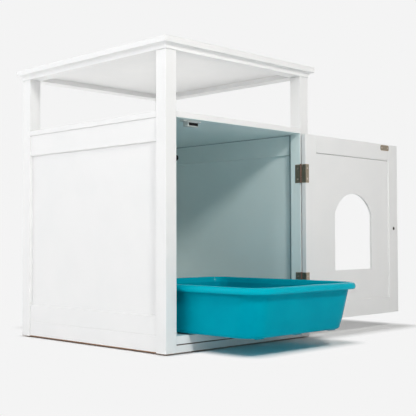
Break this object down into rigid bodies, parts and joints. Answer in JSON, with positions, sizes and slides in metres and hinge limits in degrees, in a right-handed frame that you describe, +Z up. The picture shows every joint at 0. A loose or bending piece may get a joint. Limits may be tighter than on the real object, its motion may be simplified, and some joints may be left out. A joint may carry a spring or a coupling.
{
  "type": "litter box enclosure",
  "caption": "White framed-panel pet litter cabinet with an open bay under its table top, a hinged door with an arched cat opening, a magnetic catch and a teal slide-out litter pan.",
  "frame": {"origin": "on the floor, at the middle of the four posts' footprint", "axes": "+X to the right, towards the hinge side; +Y to the back; +Z up"},
  "size_m": [0.8287, 0.725, 0.635],
  "materials": {
    "painted_wood": "satin white paint on board",
    "antique_bronze": "antique bronze plate, satin",
    "bronze_screw": "antique bronze plate, satin",
    "zinc_steel": "bright zinc plate",
    "beech": "bare wood",
    "black_fitting": "satin black",
    "white_plastic": "moulded, satin",
    "magnet": "dark ferrite",
    "glide_plastic": "moulded, satin",
    "pan_plastic": "moulded, semi-gloss"
  },
  "bodies": {
    "cabinet": {"back_panel": "painted_wood", "cam_bolts": "zinc_steel", "cam_locks": "black_fitting", "catch_housing": "white_plastic", "catch_magnet": "magnet", "catch_screws": "zinc_steel", "floor_board": "painted_wood", "foot_glides": "glide_plastic", "front_base_rail": "painted_wood", "front_left_post": "painted_wood", "front_right_post": "painted_wood", "hinge_post_screws": "bronze_screw", "left_base_rail": "painted_wood", "left_bottom_rail": "painted_wood", "left_side_panel": "painted_wood", "left_top_rail": "painted_wood", "lower_hinge_pin": "antique_bronze", "lower_hinge_post_leaf": "antique_bronze", "rear_base_rail": "painted_wood", "rear_left_post": "painted_wood", "rear_right_post": "painted_wood", "rear_top_rail": "painted_wood", "right_base_rail": "painted_wood", "right_bottom_rail": "painted_wood", "right_side_panel": "painted_wood", "right_top_rail": "painted_wood", "shelf_board": "painted_wood", "shelf_dowels": "beech", "top_board": "painted_wood", "top_dowels": "beech", "top_moulding_front": "painted_wood", "top_moulding_left": "painted_wood", "top_moulding_rear": "painted_wood", "top_moulding_right": "painted_wood", "upper_hinge_pin": "antique_bronze", "upper_hinge_post_leaf": "antique_bronze"},
    "door": {"door_bottom_rail": "painted_wood", "door_hinge_stile": "painted_wood", "door_knob": "antique_bronze", "door_latch_stile": "painted_wood", "door_panel": "painted_wood", "door_top_rail": "painted_wood", "hinge_door_screws": "bronze_screw", "knob_screw": "bronze_screw", "lower_hinge_door_leaf": "antique_bronze", "strike_plate": "antique_bronze", "strike_screws": "bronze_screw", "upper_hinge_door_leaf": "antique_bronze"},
    "pan": {"litter_pan": "pan_plastic"}
  },
  "joints": [
    {"name": "door_hinge", "type": "hinge", "parent": "cabinet", "child": "door", "pos_m": [0.19665, -0.2558, 0.2563], "axis": [0, 0, 1], "range_deg": [-180.5, 0]},
    {"name": "pan_slide", "type": "slide", "parent": "cabinet", "child": "pan", "axis": [0, 1, 0], "range_m": [0, 0.248]}
  ],
  "couplings": [
    {"joint": "pan_slide", "follows": "door_hinge", "m_per_rad": -0.0784}
  ]
}
